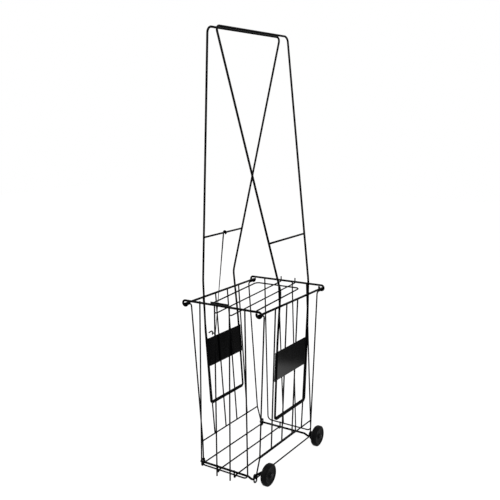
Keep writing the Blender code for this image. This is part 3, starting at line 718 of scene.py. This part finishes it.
class HOPPER_OT_side_grids(Operator):
    """Left and right grids: the outer wire with its eyes, the cross wire and the uprights, spot-welded"""
    bl_idname = "hopper.side_grids"
    bl_label = "Side grids"

    def execute(self, context):
        s = hopper_sizes()
        edge = both_ways(edge_wire_path(s), 1)
        waist = [(s.waist_half_width, -s.corner_half_length, s.waist_height),
                 (s.waist_half_width, s.corner_half_length, s.waist_height)]
        top = s.side_rim_height - s.heavy - s.gap
        paths = [edge, waist]
        welds = list(waist)
        for at_rim, at_waist in ((s.upright_1_at_rim, s.upright_1_at_waist),
                                 (s.upright_2_at_rim, s.upright_2_at_waist)):
            for end in (-1, 1):
                low = (s.waist_half_width, end * at_waist, s.waist_height)
                high = (panel_x(s, top), end * at_rim, top)
                paths.append([low, high])
                welds += [low, high]
        for name, side in SIDES:
            shells = [coated(s, path if side > 0 else mirrored(path, 0), s.thin_wire) for path in paths]
            shells += [weld_bead(np.array(centre) * (side, 1, 1), Y, s.thin * 1.55, s.thin * 1.12)
                       for centre in welds]
            make_wire(s, f"side_wires_{name}", joined(shells), f"side_grid_{name}")
        return {"FINISHED"}


class HOPPER_OT_end_grids(Operator):
    """Front and rear grids: a U of wire and two inner wires, which run on as feet at the front"""
    bl_idname = "hopper.end_grids"
    bl_label = "End grids"

    def execute(self, context):
        s = hopper_sizes()
        axes, place = basket_frame(s)
        for name, end in ENDS:
            top = s.end_rim_height + s.grid_top
            foot = end * s.foot_reach
            frame_wire = [(-s.outer_at_rim, end * s.grid_rim_y, top), (-s.outer_at_foot, foot, s.foot_height),
                          (s.outer_at_foot, foot, s.foot_height), (s.outer_at_rim, end * s.grid_rim_y, top)]
            shells = [coated(s, bent(frame_wire, s.grid_bend), s.thin_wire)]
            for side in (-1, 1):
                low_point = s.foot_height
                if end < 0:
                    low_point = (s.foot_lift - place[2] - side * s.inner_at_foot * axes[0][2]) / axes[2][2]
                coat = s.coat_build if end < 0 else s.coat_build / 2
                shells.append(coated(s, inner_wire(s, side, end, low_point), s.thin_wire, coat))
                crossing = (side * s.inner_at_foot, (foot + end * s.inner_foot_y) / 2, s.foot_height)
                shells.append(weld_bead(crossing, Y, s.thin * 1.5, s.thin * 1.15))
                for x in (side * s.inner_at_rim, side * s.outer_at_rim):
                    at_rim = (x, end * (s.grid_rim_y + s.thin * 0.8), s.end_rim_height)
                    shells.append(weld_bead(at_rim, Z, s.thin * 1.2, s.thin * 1.2))
            make_wire(s, f"end_wires_{name}", joined(shells), f"end_grid_{name}")
        return {"FINISHED"}


class HOPPER_OT_base(Operator):
    """Two heavy base bars bent up as stub axles, and the two base wires hooked under them"""
    bl_idname = "hopper.base"
    bl_label = "Base"

    def execute(self, context):
        s = hopper_sizes()
        left_end = (-s.bottom_half_width - s.eye_pitch - s.bar_past_eye, -s.bar_half_spacing, s.bar_height)
        front = np.concatenate([[left_end], stub_path(s)])
        for name, end in ENDS:
            path = front if end < 0 else mirrored(front, 1)
            make_wire(s, f"axle_bar_{name}", coated(s, path, s.heavy_wire), f"base_bar_{name}")
        height = s.bar_height - s.heavy - s.gap - s.thin
        under = s.bar_half_spacing + s.heavy
        tip = s.bar_half_spacing + s.hook_reach
        for name, side in SIDES:
            x = side * s.base_wire_spacing / 2
            half = bent([(x, 0, height), (x, under, height), (x, under + s.hook_drop, height - s.hook_drop),
                         (x, tip, height - s.hook_drop), (x, tip, height + s.hook_rise)], s.thin_wire)
            make_wire(s, f"ball_wire_{name}", coated(s, both_ways(half, 1), s.thin_wire), f"base_wire_{name}")
        return {"FINISHED"}


class HOPPER_OT_wheels(Operator):
    """Two moulded wheels with a raised hub and rim, and the push-on caps that keep them on"""
    bl_idname = "hopper.wheels"
    bl_label = "Wheels"

    def execute(self, context):
        s = hopper_sizes()
        half = s.wheel_width / 2
        tread = s.tread_width / 2
        hub = s.hub_radius
        outer = s.wheel_radius
        rim = outer - 8 * MM
        bore = s.heavy + s.gap
        hub_face = [(bore, half), (hub - 1 * MM, half), (hub, half - 1 * MM)]
        web = [(hub + 2 * MM, half - 2.6 * MM), (rim - 3 * MM, half - 2.2 * MM)]
        rim_face = [(rim, half - 0.8 * MM), (rim + 2 * MM, half - 1 * MM)]
        shoulder = [(outer - 2.6 * MM, tread + 1.8 * MM), (outer - 0.8 * MM, tread + 0.7 * MM),
                    (outer, tread)]
        back = half + s.tyre_lip
        inside = [(outer, -tread - s.tyre_lip), (outer - 0.8 * MM, -tread - s.tyre_lip - 0.7 * MM),
                  (outer - 2.6 * MM, 1 * MM - back), (outer - 4.6 * MM, 0.8 * MM - back),
                  (outer - 6.2 * MM, 3 * MM - back), (rim - 1.5 * MM, 2.2 * MM - half),
                  (hub + 2 * MM, 2.6 * MM - half), (hub, 1 * MM - half), (hub - 1 * MM, -half), (bore, -half)]
        profile = bent(hub_face + web + rim_face + shoulder + inside, 0.9 * MM, math.radians(15))
        depth = s.stub_past_wheel
        crown = depth + s.cap_wall
        cap = bent([(0, crown), (s.cap_radius * 0.55, crown - 0.3 * MM),
                    (s.cap_radius * 0.9, depth + 0.2 * MM), (s.cap_radius, depth - 0.8 * MM),
                    (s.cap_radius, s.gap), (bore, s.gap), (bore, depth + s.gap), (0, depth + s.gap)],
                   0.6 * MM, math.radians(15))
        wheel_material = wheel_finish(s)
        cap_material = cap_finish(s)
        for name, end in ENDS:
            centre = (s.wheel_x, end * s.wheel_y, s.stub_height)
            make_piece(f"tyre_and_hub_{name}", turned(profile, centre, X, steps=96), wheel_material,
                       f"wheel_{name}", f"{name}_wheel", smooth_angle=30)
            outside = (s.wheel_x + half, end * s.wheel_y, s.stub_height)
            make_piece(f"push_cap_{name}", turned(cap, outside, X, steps=48), cap_material,
                       f"axle_cap_{name}", "basket", smooth_angle=40)
        return {"FINISHED"}


class HOPPER_OT_handles(Operator):
    """Two long handle loops, each one bent wire, with a crossbar welded between its legs"""
    bl_idname = "hopper.handles"
    bl_label = "Handles"

    def execute(self, context):
        s = hopper_sizes()
        half = handle_path(s)
        loop = np.concatenate([mirrored(half, 1), half[-2::-1]])
        splay = (s.top_half_length - s.leg_bend_half_spacing) / (s.top_height - s.leg_bend_height)
        reach = s.crossbar_y - s.heavy * math.hypot(1, splay) - s.crossbar_wire / 2 * splay - s.gap
        for name, side in SIDES:
            path = loop * (side, 1, 1)
            make_wire(s, f"long_handle_{name}", coated(s, path, s.heavy_wire, s.moving_coat),
                      f"handle_{name}", f"{name}_handle")
            x = side * s.crossbar_x
            ends = [(x, -reach, s.crossbar_height), (x, reach, s.crossbar_height)]
            shells = [coated(s, ends, s.crossbar_wire)]
            for end in (-1, 1):
                at_leg = (x, end * (reach - 0.2 * MM), s.crossbar_height)
                shells.append(weld_bead(at_leg, Y, s.thin * 0.9, s.crossbar_wire * 0.62))
            make_wire(s, f"cross_rod_{name}", joined(shells), f"crossbar_{name}", f"{name}_handle")
        return {"FINISHED"}


class HOPPER_OT_hinge_tubes(Operator):
    """Two plain tubes welded to the side grids, in which the handles turn"""
    bl_idname = "hopper.hinge_tubes"
    bl_label = "Hinge tubes"

    def execute(self, context):
        s = hopper_sizes()
        bore = s.heavy + s.gap
        outer = s.tube_radius
        half = s.tube_half_length
        lip = 0.4 * MM
        profile = [(outer, half - lip), (outer, -half + lip), (outer - lip, -half), (bore + lip, -half),
                   (bore, -half + lip), (bore, half - lip), (bore + lip, half), (outer - lip, half)]
        for name, side in SIDES:
            tube = turned(profile, (side * s.hinge_x, 0, s.hinge_height), Y, steps=40)
            make_wire(s, f"pivot_tube_{name}", tube, f"hinge_tube_{name}", smooth_angle=35)
        return {"FINISHED"}


class HOPPER_OT_latch_plates(Operator):
    """Two sheet-metal plates whose edges are folded into channels that hold the handles' legs"""
    bl_idname = "hopper.latch_plates"
    bl_label = "Latch plates"

    def execute(self, context):
        s = hopper_sizes()
        line = plate_line(s)
        line = np.concatenate([(line * [-1, 1])[:0:-1], line])
        low = np.array([panel_x(s, s.plate_bottom), 0, s.plate_bottom])
        high = np.array([panel_x(s, s.plate_top), 0, s.plate_top])
        tall = np.linalg.norm(high - low)
        up = unit(high - low)
        out = np.array([up[2], 0, -up[0]])
        for name, side in SIDES:
            points, faces = folded_sheet(line, s.sheet, -tall / 2, tall / 2, Y, out, up)
            points = points + (low + high) / 2 + out * (s.thin + s.gap + s.sheet / 2)
            if side < 0:
                points = mirrored(points, 0)
                faces = [face[::-1] for face in faces]
            make_piece(f"folded_plate_{name}", (points, faces), sheet_finish(s), f"latch_plate_{name}",
                       "basket", smooth_angle=35)
        return {"FINISHED"}


class HOPPER_OT_tie_rod(Operator):
    """The rod that hangs on the left crossbar"""
    bl_idname = "hopper.tie_rod"
    bl_label = "Tie rod"

    def execute(self, context):
        s = hopper_sizes()
        make_wire(s, "hanging_rod", coated(s, tie_rod_path(s), s.thin_wire), "tie_rod", "tie_rod")
        return {"FINISHED"}


class HOPPER_OT_lid(Operator):
    """The lid: two long wires hooked under the rear bar, a U-shaped frame and a short flat strip"""
    bl_idname = "hopper.lid"
    bl_label = "Lid"

    def execute(self, context):
        s = hopper_sizes()
        hook_radius = s.heavy + s.gap + s.thin
        front = lid_front_y(s)
        for name, side in SIDES:
            x = lid_wire_x(s, side)
            run = bent([(x - s.toe, front, s.lid_front_height), (x, front, s.lid_front_height),
                        (x, s.rim_half_length, s.end_rim_height - hook_radius)], s.toe_bend)
            hook = arc((x, s.rim_half_length, s.end_rim_height), hook_radius, -math.pi / 2, math.pi / 2, Y, Z)
            tail = [[x, s.rim_half_length + hook_radius, s.end_rim_height + s.lid_tail]]
            path = np.concatenate([run[:-1], hook, tail])
            make_wire(s, f"hooked_wire_{name}", coated(s, path, s.thin_wire, s.moving_coat),
                      f"lid_wire_{name}", "lid")
        lift = s.thin_wire + s.gap
        corners = [(-s.lid_half_width, s.lid_frame_front), (-s.lid_half_width, s.lid_frame_rear),
                   (s.lid_half_width, s.lid_frame_rear), (s.lid_half_width, s.lid_frame_front)]
        path = bent([(x, y, lid_wire_height(s, y) + lift) for x, y in corners], s.lid_frame_bend)
        shells = [coated(s, path, s.thin_wire)]
        under = lid_wire_height(s, s.lid_frame_rear) + lift / 2
        for side in (-1, 1):
            crossing = (lid_wire_x(s, side), s.lid_frame_rear, under + s.gap)
            shells.append(weld_bead(crossing, Z, s.thin, s.thin * 1.05))
        make_wire(s, "lid_loop", joined(shells), "lid_frame", "lid")
        back = s.lid_frame_front - s.gap
        foot = lid_wire_height(s, back) + s.thin + s.gap
        start = -s.lid_half_width - s.strip_past_side
        across = start + np.linspace(0, s.strip_length, 3)
        line = np.stack([across, np.full(3, back - s.strip_sheet / 2)], axis=1)
        strip = folded_sheet(line, s.strip_sheet, foot, foot + s.strip_height, X, Y, Z)
        make_piece("flat_strip", strip, sheet_finish(s), "lid_strip", "lid", smooth_angle=35)
        return {"FINISHED"}


class HOPPER_OT_stage(Operator):
    """White floor, soft lights, a plain white surround and the camera"""
    bl_idname = "hopper.stage"
    bl_label = "Stage"

    def execute(self, context):
        s = hopper_sizes()
        self.lay_floor(s)
        self.light_world(s)
        self.hang_lamp("key_light", place=(2.2, -1.6, 2.8), size=2.2, power=s.key_power)
        self.hang_lamp("fill_light", place=(-2.6, -1.2, 1.8), size=2.6, power=s.fill_power)
        self.set_camera(s)
        context.scene.view_settings.view_transform = "Standard"
        return {"FINISHED"}

    def lay_floor(self, s):
        """A flat grid at height 0: a round sheet of pale paper on a greyer studio floor, as the plates mirror
        it. The camera sees all of it as white less the faint shadow that falls on it."""
        half = s.floor_size / 2
        across = np.linspace(-half, half, 5)
        x, y = np.meshgrid(across, across)
        points = np.stack([x, y, np.zeros_like(x)], axis=-1).reshape(-1, 3)
        corner = (np.arange(4)[:, None] * 5 + np.arange(4)).reshape(-1, 1)
        mesh = bpy.data.meshes.new("floor")
        mesh.from_pydata(points.tolist(), [], (corner + [0, 1, 6, 5]).tolist())
        material = bpy.data.materials.new("studio_floor")
        material.use_nodes = True
        tree = material.node_tree
        shader = tree.nodes["Principled BSDF"]
        shader.inputs["Roughness"].default_value = 0.9
        shader.inputs["Specular IOR Level"].default_value = 0.0
        rays = add_node(tree, "ShaderNodeLightPath")
        pale = add_node(tree, "ShaderNodeMix", {"data_type": "RGBA"}, {0: rays.outputs["Is Camera Ray"]})
        place = add_node(tree, "ShaderNodeTexCoord").outputs["Object"]
        away = add_node(tree, "ShaderNodeVectorMath", {"operation": "LENGTH"}, {0: place})
        edge = (s.paper_radius - s.paper_edge / 2, s.paper_radius + s.paper_edge / 2)
        paper = add_range(tree, away.outputs["Value"], to=(s.paper_pale, s.floor_pale), over=edge)
        tree.links.new(paper, pale.inputs[6])
        pale.inputs[7].default_value = (s.shadow_depth, s.shadow_depth, s.shadow_depth, 1)
        tree.links.new(pale.outputs[2], shader.inputs["Base Color"])
        white = add_node(tree, "ShaderNodeMath", {"operation": "MULTIPLY"},
                         {0: rays.outputs["Is Camera Ray"]})
        white.inputs[1].default_value = 1 - s.shadow_depth * s.world_level
        shader.inputs["Emission Color"].default_value = (1, 1, 1, 1)
        tree.links.new(white.outputs[0], shader.inputs["Emission Strength"])
        mesh.materials.append(material)
        floor = bpy.data.objects.new("studio_floor", mesh)
        bpy.context.scene.collection.objects.link(floor)

    def light_world(self, s):
        """White to the camera and in reflections, and a softer white as light."""
        world = bpy.data.worlds.new("studio_world")
        bpy.context.scene.world = world
        world.use_nodes = True
        tree = world.node_tree
        background = tree.nodes["Background"]
        background.inputs["Color"].default_value = (1, 1, 1, 1)
        rays = add_node(tree, "ShaderNodeLightPath")
        seen = rays.outputs["Is Camera Ray"]
        for kind in ("Is Glossy Ray", "Is Transmission Ray"):
            links = {0: seen, 1: rays.outputs[kind]}
            seen = add_node(tree, "ShaderNodeMath", {"operation": "MAXIMUM"}, links).outputs[0]
        level = add_node(tree, "ShaderNodeMix", {"data_type": "FLOAT"}, {0: seen})
        level.inputs[2].default_value = s.world_level
        level.inputs[3].default_value = 1.0
        tree.links.new(level.outputs[0], background.inputs["Strength"])

    def hang_lamp(self, name, place, size, power):
        """A square lamp turned towards the middle of the basket."""
        lamp = bpy.data.lights.new(name, "AREA")
        lamp.shape = "SQUARE"
        lamp.size = size
        lamp.energy = power
        hung = bpy.data.objects.new(name, lamp)
        toward = unit(np.subtract(LAMP_AIM, place))
        hung.location = place
        hung.rotation_euler = (math.acos(-toward[2]), 0, math.atan2(-toward[0], toward[1]))
        bpy.context.scene.collection.objects.link(hung)

    def set_camera(self, s):
        lens = bpy.data.cameras.new("camera")
        lens.lens = s.lens
        lens.sensor_width = 36
        lens.sensor_fit = "HORIZONTAL"
        lens.clip_start = 0.05
        camera = bpy.data.objects.new("camera", lens)
        camera.location = s.camera_place
        camera.rotation_euler = Euler(s.camera_turn)
        bpy.context.scene.collection.objects.link(camera)
        bpy.context.scene.camera = camera


OPERATORS = (HOPPER_OT_rim, HOPPER_OT_side_grids, HOPPER_OT_end_grids, HOPPER_OT_base, HOPPER_OT_wheels,
             HOPPER_OT_handles, HOPPER_OT_hinge_tubes, HOPPER_OT_latch_plates, HOPPER_OT_tie_rod,
             HOPPER_OT_lid, HOPPER_OT_stage)


class HOPPER_PT_panel(Panel):
    """Lists the pieces of the hopper and their sizes"""
    bl_idname = "HOPPER_PT_panel"
    bl_label = "Tennis ball hopper"
    bl_space_type = "VIEW_3D"
    bl_region_type = "UI"
    bl_category = "Hopper"

    def draw(self, context):
        column = self.layout.column()
        for operator in OPERATORS:
            column.operator(operator.bl_idname)
        for group_name, group in GROUPS.items():
            box = column.box()
            values = getattr(context.scene, group_name)
            for size_name in group.__annotations__:
                box.prop(values, size_name, text=size_name.replace("_", " ").capitalize())


def register():
    for group_name, group in GROUPS.items():
        bpy.utils.register_class(group)
        setattr(bpy.types.Scene, group_name, PointerProperty(type=group))
    for kind in (*OPERATORS, HOPPER_PT_panel):
        bpy.utils.register_class(kind)


def unregister():
    for kind in (HOPPER_PT_panel, *OPERATORS[::-1]):
        bpy.utils.unregister_class(kind)
    for group_name, group in GROUPS.items():
        delattr(bpy.types.Scene, group_name)
        bpy.utils.unregister_class(group)


def main():
    register()
    bpy.ops.hopper.rim()
    bpy.ops.hopper.side_grids()
    bpy.ops.hopper.end_grids()
    bpy.ops.hopper.base()
    bpy.ops.hopper.wheels()
    bpy.ops.hopper.handles()
    bpy.ops.hopper.hinge_tubes()
    bpy.ops.hopper.latch_plates()
    bpy.ops.hopper.tie_rod()
    bpy.ops.hopper.lid()
    bpy.ops.hopper.stage()


if __name__ == "__main__":
    main()
